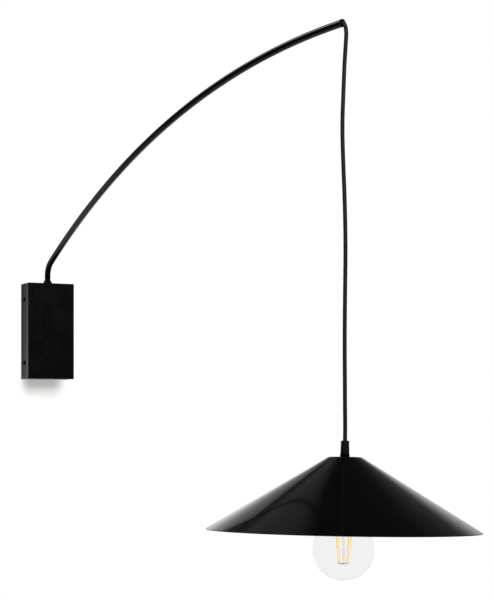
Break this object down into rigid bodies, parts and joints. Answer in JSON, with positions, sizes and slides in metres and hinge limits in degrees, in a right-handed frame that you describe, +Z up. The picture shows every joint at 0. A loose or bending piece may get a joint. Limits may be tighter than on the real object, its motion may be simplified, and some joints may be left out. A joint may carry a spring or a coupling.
{
  "type": "wall lamp",
  "caption": "Wall box with a long curved swivelling tube arm; a cord from its mouth carries a wide flat cone shade with a clear globe bulb.",
  "frame": {"origin": "centre of the back plate's wall face", "axes": "+Y into the wall, +Z up, +X to the right as seen from the room; the room is on the -Y side"},
  "size_m": [0.4333, 1.2561, 0.8818],
  "materials": {
    "box_enamel": "gloss black enamel",
    "arm_enamel": "gloss black enamel",
    "shade_enamel": "gloss black enamel on spun metal",
    "black_screws": "blackened steel",
    "black_ring": "black anodised",
    "zinc_steel": "bright zinc plated",
    "brass": "machined",
    "tinned_copper": "tinned",
    "nickel_cap": "nickel plated, rolled",
    "nylon": "moulded natural nylon",
    "black_plastic": "moulded, satin",
    "black_rubber": "moulded",
    "porcelain": "glazed porcelain",
    "cord_sheath": "extruded PVC",
    "brown_core": "extruded PVC",
    "blue_core": "extruded PVC",
    "green_yellow_core": "extruded PVC, striped",
    "bulb_glass": "clear blown glass",
    "stem_glass": "clear pressed glass",
    "black_glass": "black cap glass",
    "filament_phosphor": "amber phosphor coat",
    "nickel_wire": "drawn nickel wire"
  },
  "bodies": {
    "wall_box": {"back_plate": "zinc_steel", "housing": "box_enamel", "cover_screws": "black_screws", "top_stiffener": "zinc_steel", "swivel_bush": "nylon", "lower_washer": "zinc_steel", "cable_grommet": "black_rubber", "terminal_block": "nylon", "terminal_sleeves": "brass", "terminal_screws": "zinc_steel", "block_screws": "zinc_steel", "earth_screw": "brass", "earth_washer": "zinc_steel", "earth_lug": "tinned_copper", "earth_link": "green_yellow_core", "cord_clamp": "nylon", "clamp_screws": "zinc_steel", "box_flex": "cord_sheath", "live_core": "brown_core", "neutral_core": "blue_core"},
    "arm": {"arm_foot": "zinc_steel", "arm_collar": "arm_enamel", "spring_washer": "zinc_steel", "lock_nut": "zinc_steel", "arm_tube": "arm_enamel", "tip_bushing": "black_plastic", "arm_flex": "cord_sheath"},
    "cord_bend": {"cord_bend": "cord_sheath"},
    "pendant": {"hanging_cord": "cord_sheath", "cord_grip": "black_plastic", "grip_screw": "black_screws", "grip_ring": "black_ring", "head_nipple": "zinc_steel", "shade": "shade_enamel", "shade_washer": "zinc_steel", "shade_nut": "zinc_steel", "holder_cap": "black_plastic", "holder_body": "black_plastic", "holder_insert": "porcelain", "screw_shell": "brass", "centre_contact": "brass", "contact_screws": "brass", "head_flex": "cord_sheath", "head_live_core": "brown_core", "head_neutral_core": "blue_core"},
    "bulb": {"bulb_globe": "bulb_glass", "bulb_cap": "nickel_cap", "bulb_insulator": "black_glass", "bulb_contact": "brass", "bulb_stem": "stem_glass", "support_wires": "nickel_wire", "bulb_filaments": "filament_phosphor"}
  },
  "joints": [
    {"name": "arm_swivel", "type": "hinge", "parent": "wall_box", "child": "arm", "pos_m": [0, -0.025, 0.1], "axis": [0, 0, 1], "range_deg": [-85, 65]},
    {"name": "sway_across", "type": "hinge", "parent": "arm", "child": "cord_bend", "pos_m": [0.15936, -1.03116, 0.4417], "axis": [0.1564, -0.9877, 0], "range_deg": [-20, 20]},
    {"name": "sway_along", "type": "hinge", "parent": "cord_bend", "child": "pendant", "pos_m": [0.15957, -1.03857, 0.3947], "axis": [0.9877, 0.1564, 0], "range_deg": [-20, 20]},
    {"name": "bulb_out", "type": "slide", "parent": "pendant", "child": "bulb", "axis": [-0.0302, -0.0263, -0.9992], "range_m": [0, 0.035]}
  ]
}
